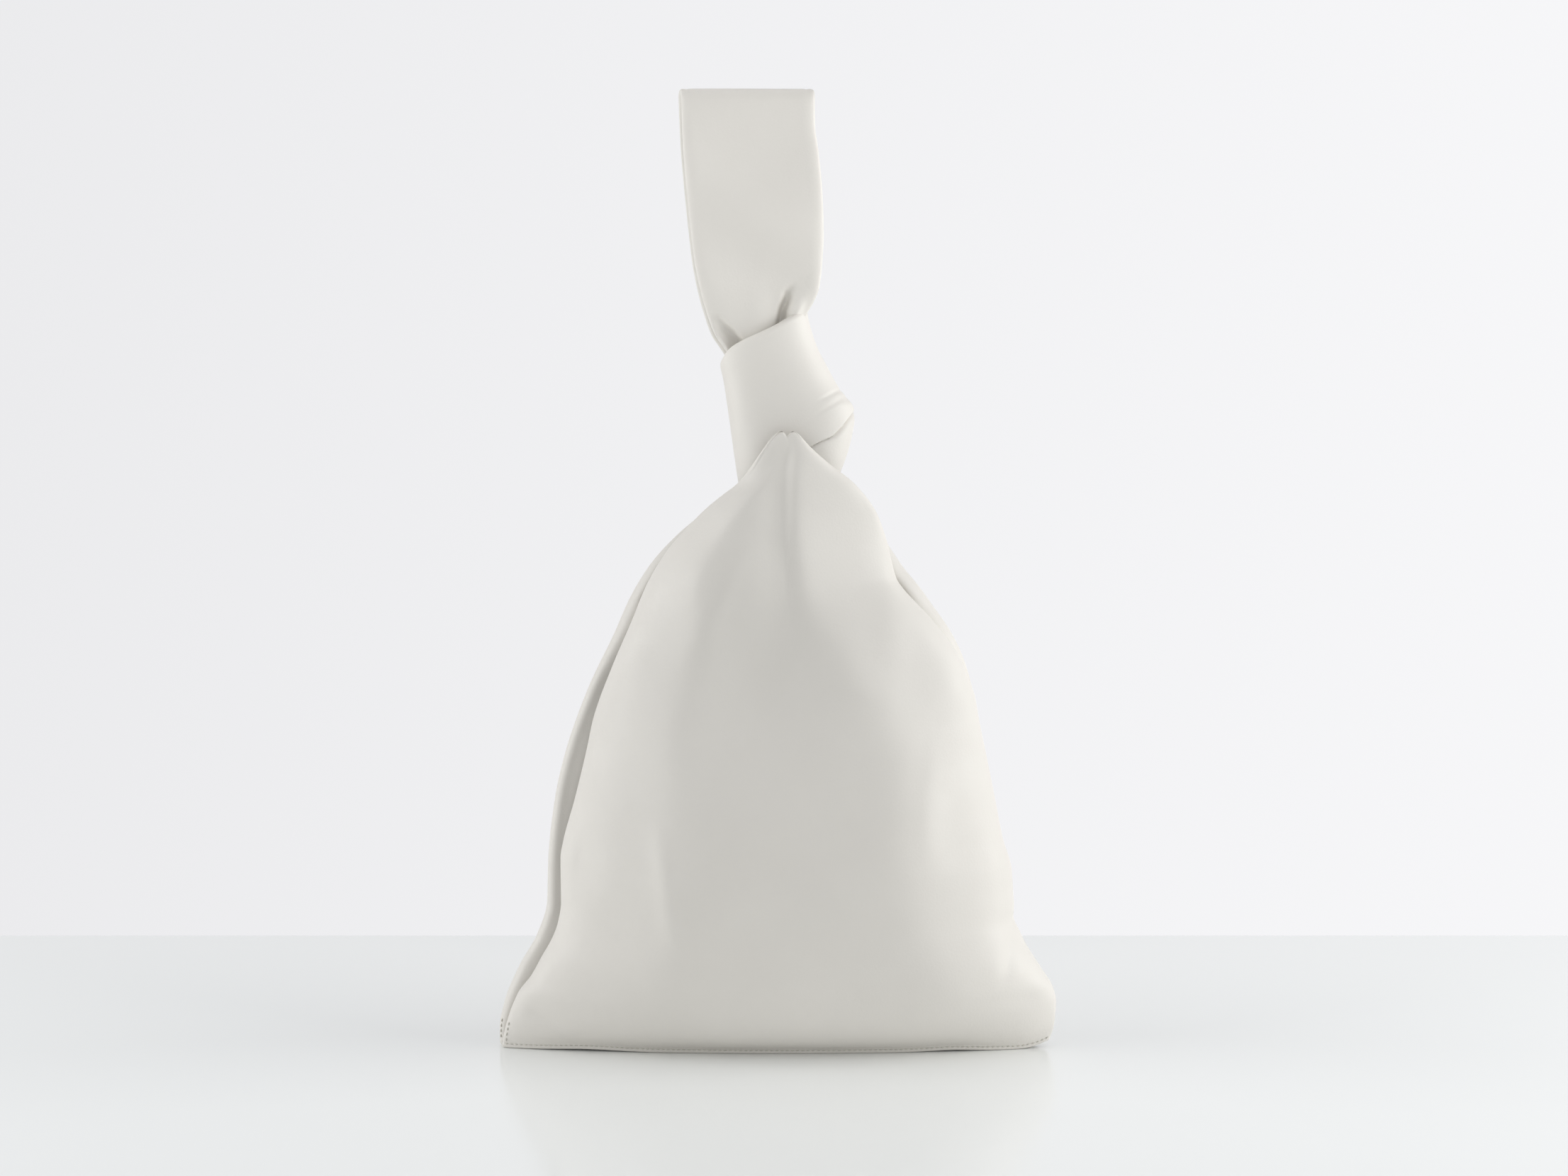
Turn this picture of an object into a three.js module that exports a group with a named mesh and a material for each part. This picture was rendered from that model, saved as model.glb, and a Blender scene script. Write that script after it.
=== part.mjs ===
// Knot bag in soft leather: a bell-shaped body with folded-in side gussets, a
// short handle wrapped into a knot, and a long handle that passes through it.
// Millimetres, +Z up, the front faces -Y, and the hem stands on Z = 0.

import * as THREE from 'three';

// Sheets and clearances
const LEATHER = 1.8;
const LINING = 0.8;
const THREAD = 0.6;
const FIT_GAP = 0.3;

// Body, measured over the outside of the leather
const HEM_WIDTH = 258;
const HEM_DEPTH = 44;
const KICK_LOW = 16;
const KICK_HIGH = 78;
const WAIST_WIDTH = 213;
const WAIST_HEIGHT = 92;
const BELLY_DEPTH = 98;
const BELLY_HEIGHT = 85;
const MOUTH_WIDTH = 112;
const MOUTH_DEPTH = 60;
const MOUTH_HEIGHT = 228;
const SHOULDER_CURVE = 1.8;
const FULLNESS = 1.2;
const EDGE_ROLL = 0.35;
const BASE_PANEL = 2;

// Side folds: the front layer stands back from the back layer on the left
const FOLD_GAP = 28;
const HEM_FOLD_GAP = 8;
const MOUTH_FOLD_GAP = 14;
const GUSSET_DEPTH = 30;
const HEM_GUSSET_DEPTH = 5;
const FRONT_LEFT_INSET = 7;
const INSET_START = 40;
const INSET_END = 180;

// Lips of the mouth, which rise to a peak before and behind the knot
const FRONT_PEAK_RISE = 62;
const BACK_PEAK_RISE = 54;
const PEAK_OFFSET = 5;
const PEAK_DEPTH = 46;
const LIP_CORNER_RISE = 4;
const LEFT_FLANK_CURVE = 1;
const RIGHT_FLANK_CURVE = 0.6;

// Stitching
const HEM_STITCH_HEIGHT = 1.7;
const STITCH_WIDTH = 0.8;
const CORNER_STITCH_TOP = 15;
const CORNER_STITCH_INSET = 4;

// Roots of the two handles, which meet in the throat below the knot
const ROOT_THICKNESS = 6;
const ROOT_DEPTH = 16;
const ROOT_FOOT_INSET = 6;
const THROAT_OFFSET = 6;
const THROAT_RISE = 30.7;
const LONG_ROOT_DROP = 6;
const ROOT_BEND = 0.65;

// Knot: the short handle wrapped round the long one, with a slanted rim
const KNOT_DEPTH = 36;
const KNOT_LEFT_FOOT = -18.5;
const KNOT_LEFT_RIM = -26.5;
const KNOT_RIGHT_FOOT = 28;
const KNOT_RIGHT_BULGE = 47;
const KNOT_RIGHT_RIM = 13;
const KNOT_RISE = 71.5;
const KNOT_RIM_SLOPE = 0.53;
const BORE_OFFSET = -2.5;
const BORE_WIDTH = 25;
const BORE_DEPTH = 20;
const UNDERLAP_TURN = 50;
const UNDERLAP_SHARE = 0.5;

// Long handle: a gathered neck in the knot, and a flat loop above it
const NECK_RECESS = 4;
const GATHER_INSET = 2;
const GATHER_DEPTH = 18;
const NECK_TOP_LEFT = -32;
const NECK_TOP_RIGHT = 16;
const SWING_RISE = 15.5;
const SWING_RADIUS = 4;
const LOOP_RISE = 94.7;
const LOOP_DEPTH = 36;
const LOOP_LEFT_FOOT = -34;
const LOOP_LEFT_TOP = -45;
const LOOP_RIGHT_FOOT = 18;
const LOOP_RIGHT_BULGE = 25;
const LOOP_RIGHT_TOP = 17.3;
const STRAP_CORE = 1.2;

// Facets
const PANEL_COLUMNS = 18;
const PANEL_ROWS = 13;
const LINING_COLUMN = 2;
const GUSSET_COLUMNS = 8;
const LIP_COLUMNS = 14;
const LIP_ROWS = 5;
const ROUND_COLUMNS = 24;
const KNOT_ROWS = 6;
const LOOP_COLUMNS = 28;
const LOOP_ROWS = 3;

const FRONT = -1;
const BACK = 1;
const LEFT = -1;
const RIGHT = 1;
const QUARTER = Math.PI / 2;

const LEATHER_COLOUR = 0xdedbd3;
const LINING_COLOUR = 0xcdc6b8;
const THREAD_COLOUR = 0xe6e3da;

const { lerp, smoothstep, degToRad } = THREE.MathUtils;

const leather = () => new THREE.MeshStandardMaterial({ color: LEATHER_COLOUR, roughness: 0.55, metalness: 0 });
const suede = () => new THREE.MeshStandardMaterial({ color: LINING_COLOUR, roughness: 0.9, metalness: 0 });
const thread = () => new THREE.MeshStandardMaterial({ color: THREAD_COLOUR, roughness: 0.7, metalness: 0 });

const bag = new THREE.Group();

function addPart(name, geometry, material) {
  const mesh = new THREE.Mesh(geometry, material);
  mesh.name = name;
  bag.add(mesh);
}

// A closed geometry from points and triangles, turned to face outwards
function closedGeometry(points, triangles) {
  let volume = 0;
  for (const [a, b, c] of triangles) {
    volume += points[a].dot(points[b].clone().cross(points[c]));
  }
  const facing = volume > 0 ? triangles : triangles.map(([a, b, c]) => [a, c, b]);
  const geometry = new THREE.BufferGeometry().setFromPoints(points);
  geometry.setIndex(facing.flat());
  geometry.computeVertexNormals();
  return geometry;
}

// A sheet with thickness: place(s, t, depth) is swept over s and t from 0 to 1,
// between two depths. A closed sheet joins s = 1 to s = 0 and so makes a sleeve.
function sheet(place, columns, rows, outer, inner, closed = false) {
  const points = [];
  const triangles = [];
  const stations = closed ? columns : columns + 1;
  const layer = stations * (rows + 1);
  const at = (side, i, j) => side * layer + j * stations + (i % stations);
  const quad = (a, b, c, d) => triangles.push([a, b, c], [a, c, d]);
  for (const depth of [outer, inner]) {
    for (let j = 0; j <= rows; j += 1) {
      for (let i = 0; i < stations; i += 1) {
        points.push(place(i / columns, j / rows, depth));
      }
    }
  }
  for (let j = 0; j < rows; j += 1) {
    for (let i = 0; i < columns; i += 1) {
      quad(at(0, i, j), at(0, i + 1, j), at(0, i + 1, j + 1), at(0, i, j + 1));
      quad(at(1, i, j), at(1, i, j + 1), at(1, i + 1, j + 1), at(1, i + 1, j));
    }
  }
  for (let i = 0; i < columns; i += 1) {
    quad(at(0, i, 0), at(1, i, 0), at(1, i + 1, 0), at(0, i + 1, 0));
    quad(at(0, i, rows), at(0, i + 1, rows), at(1, i + 1, rows), at(1, i, rows));
  }
  for (let j = 0; !closed && j < rows; j += 1) {
    quad(at(0, 0, j), at(0, 0, j + 1), at(1, 0, j + 1), at(1, 0, j));
    quad(at(0, columns, j), at(1, columns, j), at(1, columns, j + 1), at(0, columns, j + 1));
  }
  return closedGeometry(points, triangles);
}

// A solid column through oval rings, capped at both ends
function column(rings, columns) {
  const points = rings.flatMap((ring) =>
    Array.from({ length: columns }, (_, i) => ring((i / columns) * 2 * Math.PI)));
  const triangles = [];
  const at = (i, j) => j * columns + (i % columns);
  for (let j = 0; j < rings.length - 1; j += 1) {
    for (let i = 0; i < columns; i += 1) {
      triangles.push([at(i, j), at(i + 1, j), at(i + 1, j + 1)], [at(i, j), at(i + 1, j + 1), at(i, j + 1)]);
    }
  }
  const last = rings.length - 1;
  for (let i = 1; i < columns - 1; i += 1) {
    triangles.push([at(0, 0), at(i + 1, 0), at(i, 0)], [at(0, last), at(i, last), at(i + 1, last)]);
  }
  return closedGeometry(points, triangles);
}

// Shape of the body at a height
function halfWidth(z) {
  const waist = WAIST_WIDTH / 2;
  if (z < WAIST_HEIGHT) {
    return lerp(HEM_WIDTH / 2, waist, smoothstep(z, KICK_LOW, KICK_HIGH));
  }
  const rise = Math.min((z - WAIST_HEIGHT) / (MOUTH_HEIGHT - WAIST_HEIGHT), 1);
  return lerp(waist, MOUTH_WIDTH / 2, rise ** SHOULDER_CURVE);
}

function halfDepth(z) {
  if (z < BELLY_HEIGHT) {
    return lerp(HEM_DEPTH, BELLY_DEPTH, Math.sin((QUARTER * z) / BELLY_HEIGHT)) / 2;
  }
  if (z < MOUTH_HEIGHT) {
    return lerp(BELLY_DEPTH, MOUTH_DEPTH, smoothstep(z, BELLY_HEIGHT, MOUTH_HEIGHT)) / 2;
  }
  return lerp(MOUTH_DEPTH, PEAK_DEPTH, smoothstep(z, MOUTH_HEIGHT, MOUTH_HEIGHT + FRONT_PEAK_RISE)) / 2;
}

function halfFold(z) {
  const opened = lerp(HEM_FOLD_GAP, FOLD_GAP, smoothstep(z, 0, BELLY_HEIGHT));
  return lerp(opened, MOUTH_FOLD_GAP, smoothstep(z, WAIST_HEIGHT, MOUTH_HEIGHT)) / 2;
}

const gussetDepth = (z) => lerp(HEM_GUSSET_DEPTH, GUSSET_DEPTH, smoothstep(z, 0, BELLY_HEIGHT));

// Distance of a fold edge from the middle of the bag
function foldReach(side, hand, z) {
  if (side === BACK || hand === RIGHT) {
    return halfWidth(z);
  }
  const inset = smoothstep(z, 0, INSET_START) * (1 - smoothstep(z, INSET_END, MOUTH_HEIGHT));
  return halfWidth(z) - FRONT_LEFT_INSET * inset;
}

// A point of the front or back sheet: turn runs from the left fold edge to the
// right one, and depth is measured inwards from the outside of the leather
function panelPoint(side, turn, z, depth) {
  const left = foldReach(side, LEFT, z);
  const right = foldReach(side, RIGHT, z);
  const rounding = Math.max(Math.cos(turn), 0);
  const fold = halfFold(z);
  const inward = 2 * smoothstep(rounding, 0, EDGE_ROLL) - 1;
  const x = (right - left) / 2 + ((right + left) / 2 - depth) * Math.sin(turn);
  const y = fold + (halfDepth(z) - fold) * rounding ** FULLNESS - depth * inward;
  return new THREE.Vector3(x, side * y, z);
}

// A point of a side gusset: across runs from -1 at the front fold edge, through
// the valley, to 1 at the back fold edge
function gussetPoint(hand, across, z, depth) {
  const fold = lerp(foldReach(FRONT, hand, z), foldReach(BACK, hand, z), (across + 1) / 2);
  const groove = gussetDepth(z) * Math.cos(across * QUARTER);
  return new THREE.Vector3(hand * (fold - groove - depth), across * (halfFold(z) + depth), z);
}

// Body panels, gussets and their linings
const liningDepth = LEATHER + FIT_GAP;
const insideDepth = liningDepth + LINING;
const panelTop = MOUTH_HEIGHT - FIT_GAP;
const liningFoot = BASE_PANEL + FIT_GAP;

// Every layer has its rows and columns in line: leather from row 0 at the hem,
// and lining from row 1 above the base and clear of the fold edges
function rowHeight(row) {
  const rise = (row - 1) / (PANEL_ROWS - 1);
  return row < 1 ? 0 : lerp(liningFoot, panelTop, rise);
}

function panelSheet(side, firstRow, firstColumn, outer, inner) {
  const rows = PANEL_ROWS - firstRow;
  const columns = PANEL_COLUMNS - 2 * firstColumn;
  const limit = (QUARTER * columns) / PANEL_COLUMNS;
  const place = (s, t, depth) => {
    const z = rowHeight(firstRow + t * rows);
    return panelPoint(side, lerp(-limit, limit, s), z, depth);
  };
  return sheet(place, columns, rows, outer, inner);
}

function gussetSheet(hand, firstRow, outer, inner) {
  const rows = PANEL_ROWS - firstRow;
  const place = (s, t, depth) => {
    const z = rowHeight(firstRow + t * rows);
    const legLength = Math.hypot(gussetDepth(z) * QUARTER, halfFold(z));
    const edge = 1 - (2 * FIT_GAP + outer) / legLength;
    return gussetPoint(hand, lerp(-edge, edge, s), z, depth);
  };
  return sheet(place, GUSSET_COLUMNS, rows, outer, inner);
}

for (const [name, side] of [['front', FRONT], ['back', BACK]]) {
  addPart(`${name}_panel`, panelSheet(side, 0, 0, 0, LEATHER), leather());
  addPart(`${name}_lining`, panelSheet(side, 1, LINING_COLUMN, liningDepth, insideDepth), suede());
}

for (const [name, hand] of [['left', LEFT], ['right', RIGHT]]) {
  addPart(`${name}_gusset`, gussetSheet(hand, 0, 0, LEATHER), leather());
  addPart(`${name}_gusset_lining`, gussetSheet(hand, 1, liningDepth, insideDepth), suede());
}

// Base: a lens between the two hems, clear of the gussets at its points
function baseSheet(low, high, depth) {
  const reach = halfWidth(0) - HEM_GUSSET_DEPTH - insideDepth - BASE_PANEL;
  const limit = Math.asin(reach / halfWidth(0)) - EDGE_ROLL / 2;
  const place = (s, t, z) => {
    const turn = lerp(-limit, limit, s);
    const front = panelPoint(FRONT, turn, 0, depth);
    const back = panelPoint(BACK, turn, 0, depth);
    return front.lerp(back, t).setZ(z);
  };
  return sheet(place, PANEL_COLUMNS, 1, low, high);
}

addPart('base_panel', baseSheet(0, BASE_PANEL, liningDepth), leather());
addPart('base_lining', baseSheet(liningFoot, liningFoot + LINING, insideDepth + FIT_GAP), suede());

// Stitching: one row round each hem, and a short row up each corner
function stitchRow(side, turnLow, turnHigh, low, high, columns) {
  const place = (s, t, depth) => panelPoint(side, lerp(turnLow, turnHigh, s), lerp(low, high, t), depth);
  return sheet(place, columns, 1, -FIT_GAP - THREAD, -FIT_GAP);
}

const cornerTurn = Math.acos(Math.sqrt(CORNER_STITCH_INSET / (HEM_WIDTH / 2)));
const stitchLow = HEM_STITCH_HEIGHT - STITCH_WIDTH / 2;
const stitchHigh = HEM_STITCH_HEIGHT + STITCH_WIDTH / 2;
const cornerLow = stitchHigh + STITCH_WIDTH;
const cornerWidth = STITCH_WIDTH / (HEM_WIDTH / 2) / Math.cos(cornerTurn);

for (const [name, side] of [['front', FRONT], ['back', BACK]]) {
  const hem = stitchRow(side, -cornerTurn, cornerTurn, stitchLow, stitchHigh, PANEL_COLUMNS);
  addPart(`${name}_hem_thread`, hem, thread());
  for (const [corner, hand] of [['left', LEFT], ['right', RIGHT]]) {
    const turn = hand * cornerTurn;
    const row = stitchRow(side, turn, turn - hand * cornerWidth, cornerLow, CORNER_STITCH_TOP, 1);
    addPart(`${name}_${corner}_corner_thread`, row, thread());
  }
}

// Lips: the front and back sheets above the mouth line, cut to a peak
function lipTop(x, peakRise) {
  const corner = MOUTH_HEIGHT + LIP_CORNER_RISE;
  const half = MOUTH_WIDTH / 2;
  const share = x < PEAK_OFFSET
    ? ((x + half) / (PEAK_OFFSET + half)) ** LEFT_FLANK_CURVE
    : ((half - x) / (half - PEAK_OFFSET)) ** RIGHT_FLANK_CURVE;
  return lerp(corner, MOUTH_HEIGHT + peakRise, share);
}

function lipSheet(side, peakRise, outer, inner) {
  const limit = QUARTER - EDGE_ROLL / 2;
  const place = (s, t, depth) => {
    const turn = lerp(-limit, limit, s);
    const top = lipTop((MOUTH_WIDTH / 2) * Math.sin(turn), peakRise);
    return panelPoint(side, turn, lerp(MOUTH_HEIGHT, top, t), depth);
  };
  return sheet(place, LIP_COLUMNS, LIP_ROWS, outer, inner);
}

for (const [name, side, peak] of [['front', FRONT, FRONT_PEAK_RISE], ['back', BACK, BACK_PEAK_RISE]]) {
  addPart(`${name}_lip`, lipSheet(side, peak, 0, LEATHER), leather());
  addPart(`${name}_lip_lining`, lipSheet(side, peak, liningDepth, insideDepth), suede());
}

// Handle roots: curved straps from the shoulders to the throat, with round ends
function handleRoot(hand, endX, endZ) {
  const radius = ROOT_THICKNESS / 2;
  const foot = MOUTH_HEIGHT + FIT_GAP;
  const outerFoot = hand * (MOUTH_WIDTH / 2 - ROOT_FOOT_INSET);
  const innerFoot = outerFoot - hand * ROOT_THICKNESS;
  const bend = lerp(foot, endZ, ROOT_BEND);
  const shape = new THREE.Shape();
  shape.moveTo(outerFoot, foot);
  shape.quadraticCurveTo(endX + hand * radius, bend, endX + hand * radius, endZ);
  shape.absarc(endX, endZ, radius, hand === RIGHT ? 0 : Math.PI, hand === RIGHT ? Math.PI : 0, hand === LEFT);
  shape.quadraticCurveTo(endX - hand * radius, bend - ROOT_THICKNESS, innerFoot, foot);
  const geometry = new THREE.ExtrudeGeometry(shape, { depth: ROOT_DEPTH, bevelEnabled: false, curveSegments: 8 });
  return geometry.rotateX(QUARTER).translate(0, ROOT_DEPTH / 2, 0);
}

const throatHeight = MOUTH_HEIGHT + THROAT_RISE;
const longRootEnd = THROAT_OFFSET - ROOT_THICKNESS - FIT_GAP;
addPart('short_handle_root', handleRoot(RIGHT, THROAT_OFFSET, throatHeight), leather());
addPart('long_handle_root', handleRoot(LEFT, longRootEnd, throatHeight - LONG_ROOT_DROP), leather());

// Knot: its foot rests on the rounded end of the short handle's root
const knotFoot = throatHeight + ROOT_THICKNESS / 2 + FIT_GAP;
const rimMiddle = (KNOT_LEFT_RIM + KNOT_RIGHT_RIM) / 2;
const rimHeight = (x) => knotFoot + KNOT_RISE + KNOT_RIM_SLOPE * (x - rimMiddle);
const boreWall = LINING + FIT_GAP;

function bandPoint(angle, t, depth) {
  const left = lerp(KNOT_LEFT_FOOT, KNOT_LEFT_RIM, t);
  const foot = (1 - t) ** 2 * KNOT_RIGHT_FOOT;
  const right = foot + 2 * t * (1 - t) * KNOT_RIGHT_BULGE + t ** 2 * KNOT_RIGHT_RIM;
  const x = (left + right) / 2 + ((right - left) / 2 - depth) * Math.cos(angle);
  const y = (KNOT_DEPTH / 2 - depth) * Math.sin(angle);
  return new THREE.Vector3(x, y, lerp(knotFoot, rimHeight(x), t));
}

function borePoint(angle, t, depth) {
  const x = BORE_OFFSET + (BORE_WIDTH / 2 + depth) * Math.cos(angle);
  const y = (BORE_DEPTH / 2 + depth) * Math.sin(angle);
  return new THREE.Vector3(x, y, lerp(knotFoot, rimHeight(x), t));
}

const round = (s) => s * 2 * Math.PI;
const band = (s, t, skin) => (skin ? borePoint(round(s), t, boreWall) : bandPoint(round(s), t, 0));
addPart('short_handle_band', sheet(band, ROUND_COLUMNS, KNOT_ROWS, 0, 1, true), leather());

const sleeve = (s, t, depth) => borePoint(round(s), t, depth);
addPart('short_handle_lining', sheet(sleeve, ROUND_COLUMNS, KNOT_ROWS, 0, LINING, true), suede());

const underlapTurn = degToRad(UNDERLAP_TURN);
const underlap = (s, t, depth) => bandPoint(lerp(-underlapTurn, underlapTurn, s), t * UNDERLAP_SHARE, depth);
const underlapSheet = sheet(underlap, GUSSET_COLUMNS, KNOT_ROWS, -FIT_GAP - LEATHER, -FIT_GAP);
addPart('short_handle_underlap', underlapSheet, leather());

// Neck: the gathered long handle, which rests on the knot's rim and ends in a
// rounded ridge that the loop swings about
function ovalRing(left, right, halfY, height) {
  return (angle) => {
    const x = (left + right) / 2 + ((right - left) / 2) * Math.cos(angle);
    return new THREE.Vector3(x, halfY * Math.sin(angle), height(x));
  };
}

const neckHalf = BORE_WIDTH / 2 - FIT_GAP;
const neckLeft = BORE_OFFSET - neckHalf;
const neckRight = BORE_OFFSET + neckHalf;
const neckDepth = BORE_DEPTH / 2 - FIT_GAP;
const seat = (x) => rimHeight(x) + FIT_GAP;
const gatherLeft = KNOT_LEFT_RIM + GATHER_INSET;
const gatherRight = KNOT_RIGHT_RIM - GATHER_INSET / 2;
const swingHeight = knotFoot + KNOT_RISE + SWING_RISE;
const ridgeRings = [0, 30, 55, 75].map((degrees) => {
  const lift = degToRad(degrees);
  const height = swingHeight + SWING_RADIUS * Math.sin(lift);
  return ovalRing(NECK_TOP_LEFT, NECK_TOP_RIGHT, SWING_RADIUS * Math.cos(lift), () => height);
});

const neckRings = [
  ovalRing(neckLeft, neckRight, neckDepth, () => knotFoot + NECK_RECESS),
  ovalRing(neckLeft, neckRight, neckDepth, seat),
  ovalRing(gatherLeft, gatherRight, Math.max(GATHER_DEPTH / 2, neckDepth + FIT_GAP), seat),
  ...ridgeRings,
];
addPart('long_handle_neck', column(neckRings, ROUND_COLUMNS), leather());

// Loop: three layers of strap, round a lens-shaped opening for the hand
const loopFoot = swingHeight + SWING_RADIUS + FIT_GAP;
const loopMiddle = loopFoot + LOOP_RISE / 2;

function loopPoint(angle, across, depth) {
  const z = loopMiddle - (LOOP_RISE / 2 - depth) * Math.cos(angle);
  const y = (LOOP_DEPTH / 2 - depth) * Math.sin(angle);
  const t = (z - loopFoot) / LOOP_RISE;
  const left = lerp(LOOP_LEFT_FOOT, LOOP_LEFT_TOP, t);
  const foot = (1 - t) ** 2 * LOOP_RIGHT_FOOT;
  const right = foot + 2 * t * (1 - t) * LOOP_RIGHT_BULGE + t ** 2 * LOOP_RIGHT_TOP;
  return new THREE.Vector3(lerp(left, right, across), y, z);
}

function loopLayer(outer, inner) {
  const place = (s, t, depth) => loopPoint(round(s), t, depth);
  return sheet(place, LOOP_COLUMNS, LOOP_ROWS, outer, inner, true);
}

const coreDepth = LEATHER + FIT_GAP;
const innerDepth = coreDepth + STRAP_CORE + FIT_GAP;
addPart('long_handle_outer', loopLayer(0, LEATHER), leather());
addPart('long_handle_core', loopLayer(coreDepth, coreDepth + STRAP_CORE), suede());
addPart('long_handle_inner', loopLayer(innerDepth, innerDepth + LEATHER), leather());

export default bag;
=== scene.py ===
"""Looks of a knot bag in soft off-white leather, dressed round its solid model.

All shapes are written in millimetres in the model's own frame: X to the right
seen from the front, -Y towards the front, +Z up, with the hem on Z = 0.
"""
import math

import bpy
import numpy as np
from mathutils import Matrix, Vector


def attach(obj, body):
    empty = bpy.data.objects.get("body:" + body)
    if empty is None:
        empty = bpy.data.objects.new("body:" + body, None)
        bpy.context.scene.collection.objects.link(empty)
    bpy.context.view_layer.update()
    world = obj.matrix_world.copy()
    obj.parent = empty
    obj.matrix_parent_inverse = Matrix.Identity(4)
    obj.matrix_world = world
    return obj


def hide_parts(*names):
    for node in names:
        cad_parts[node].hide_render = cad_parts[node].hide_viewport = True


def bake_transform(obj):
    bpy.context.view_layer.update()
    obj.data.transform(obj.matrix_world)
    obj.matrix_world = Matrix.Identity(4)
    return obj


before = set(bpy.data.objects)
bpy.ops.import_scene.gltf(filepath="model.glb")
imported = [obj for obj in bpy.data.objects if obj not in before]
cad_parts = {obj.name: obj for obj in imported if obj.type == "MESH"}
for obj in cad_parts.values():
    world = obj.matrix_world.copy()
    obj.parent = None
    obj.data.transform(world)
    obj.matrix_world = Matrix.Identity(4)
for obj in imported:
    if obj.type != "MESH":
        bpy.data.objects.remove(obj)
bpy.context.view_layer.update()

MM = 0.001
FRONT, BACK = -1, 1
LEFT, RIGHT = -1, 1

# Leather and thread
LEATHER = 2.6
LINING = 0.8
LINING_GAP = 0.3
STRAP = 4.4
STITCH_PITCH = 2.43
STITCH_LENGTH = 1.65
STITCH_RADIUS = 0.3
STITCH_ARCH = 0.25
STITCH_GROOVE = 0.3
HEM_STITCH_HEIGHT = 2.1
CORNER_STITCH_TOP = 13

# Body
MOUTH_HEIGHT = 228
PEAK_HEIGHT = 290.5
BACK_PEAK_HEIGHT = 282
CREASE_DEPTH = 3.3
CLEFT_DEPTH = 1.3
GUSSET_GROOVE = 27
GUSSET_FOOT = 2
GUSSET_TOP = 214
LINING_FOOT = 4
LINING_DROP = 12
FLANGE = 8
CORNER_RISE = 4.6
BASE_REACH = 20
ROOT_HALF_WIDTH = 7.0
ROOT_HALF_THICKNESS = 3.6

# Knot and handle
KNOT_FOOT = 257
KNOT_FOOT_RISE = 9
KNOT_DEPTH = 18.5
RIM_ROLL = 2.8
TUCK_DEPTH = 2.3
UNDERLAP_DROP = 1.5
UNDERLAP_SINK = 1.6
BORE_REACH = 26
HANDLE_TOP = 448.5
HANDLE_FOOT = 314
HANDLE_EDGE = 6
GATHER_TOP = 372
REAR_SHIFT = 1.6

# Camera and backdrop
IMAGE_WIDTH = 2212
FOCAL_PIXELS = 3379
CAMERA_PLACE = Vector((0.003, -1.127, 0.273))
CAMERA_PITCH = math.radians(2.8)
SENSOR = 36
# Backdrop colours at its left and right ends: a painted light falloff, darker to the left and lighter to
# the right
BACKDROP_LEFT = (0.82, 0.82, 0.835, 1)
BACKDROP_RIGHT = (0.94, 0.94, 0.955, 1)


# Plain mathematics

def smooth(low, high, value):
    t = np.clip((value - low) / (high - low), 0, 1)
    return t * t * (3 - 2 * t)


def mix(a, b, t):
    return a + (b - a) * t


def bell(value, centre, width):
    return np.exp(-((value - centre) / width) ** 2)


def curve(*points):
    """A smooth curve through (position, value) points that doesn't overshoot."""
    place, height = np.array(points, float).T
    step = np.diff(place)
    slope = np.diff(height) / step
    tangent = np.concatenate(([slope[0]], np.zeros(len(step) - 1), [slope[-1]]))
    same = slope[:-1] * slope[1:] > 0
    total = np.where(same, slope[:-1] + slope[1:], 1)
    tangent[1:-1] = np.where(same, 2 * slope[:-1] * slope[1:] / total, 0)

    def value(at):
        at = np.clip(at, place[0], place[-1])
        i = np.clip(np.searchsorted(place, at) - 1, 0, len(step) - 1)
        t = (at - place[i]) / step[i]
        start = (1 + 2 * t) * (1 - t) ** 2 * height[i] + t * (1 - t) ** 2 * step[i] * tangent[i]
        return start + t * t * (3 - 2 * t) * height[i + 1] + t * t * (t - 1) * step[i] * tangent[i + 1]

    return value


def distance_to(path, x, z):
    """Distance from (x, z) to a line of points, positive on its left, and the share of the way along it."""
    best = np.full(np.shape(x), np.inf)
    along = np.zeros(np.shape(x))
    side = np.ones(np.shape(x))
    for k, ((ax, az), (bx, bz)) in enumerate(zip(path, path[1:])):
        dx, dz = bx - ax, bz - az
        t = np.clip(((x - ax) * dx + (z - az) * dz) / (dx * dx + dz * dz), 0, 1)
        d = np.hypot(x - ax - t * dx, z - az - t * dz)
        along = np.where(d < best, (k + t) / (len(path) - 1), along)
        side = np.where(d < best, np.where(dx * (z - az) > dz * (x - ax), 1, -1), side)
        best = np.minimum(best, d)
    return best * side, along


def sine_spaced(count):
    """From -1 to 1, closer together at both ends."""
    return np.sin(np.linspace(-math.pi / 2, math.pi / 2, count))


def edge_spaced(low, high, count, radius):
    """From low to high, with a few places that follow a round edge at each end."""
    edge = radius * (1 - np.cos(np.linspace(0, math.pi / 2, 5)))
    middle = np.linspace(low + radius, high - radius, count)[1:-1]
    return np.concatenate((low + edge, middle, high - edge[::-1]))


# Meshes

def grid_faces(index):
    """Quads over a grid of point numbers."""
    a, b = index[:-1, :-1], index[:-1, 1:]
    c, d = index[1:, 1:], index[1:, :-1]
    return np.stack((a, b, c, d), -1).reshape(-1, 4)


def add_mesh(name, points, faces, material):
    mesh = bpy.data.meshes.new(name)
    mesh.from_pydata((np.asarray(points) * MM).tolist(), [], [[int(i) for i in face] for face in faces])
    mesh.polygons.foreach_set("use_smooth", [True] * len(mesh.polygons))
    mesh.materials.append(material)
    mesh.update()
    piece = bpy.data.objects.new(name, mesh)
    bpy.context.collection.objects.link(piece)
    return piece


def normals_of(grid):
    across = np.gradient(grid, axis=1)
    up = np.gradient(grid, axis=0)
    normal = np.cross(across, up)
    return normal / np.maximum(np.linalg.norm(normal, axis=-1, keepdims=True), 1e-9)


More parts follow.
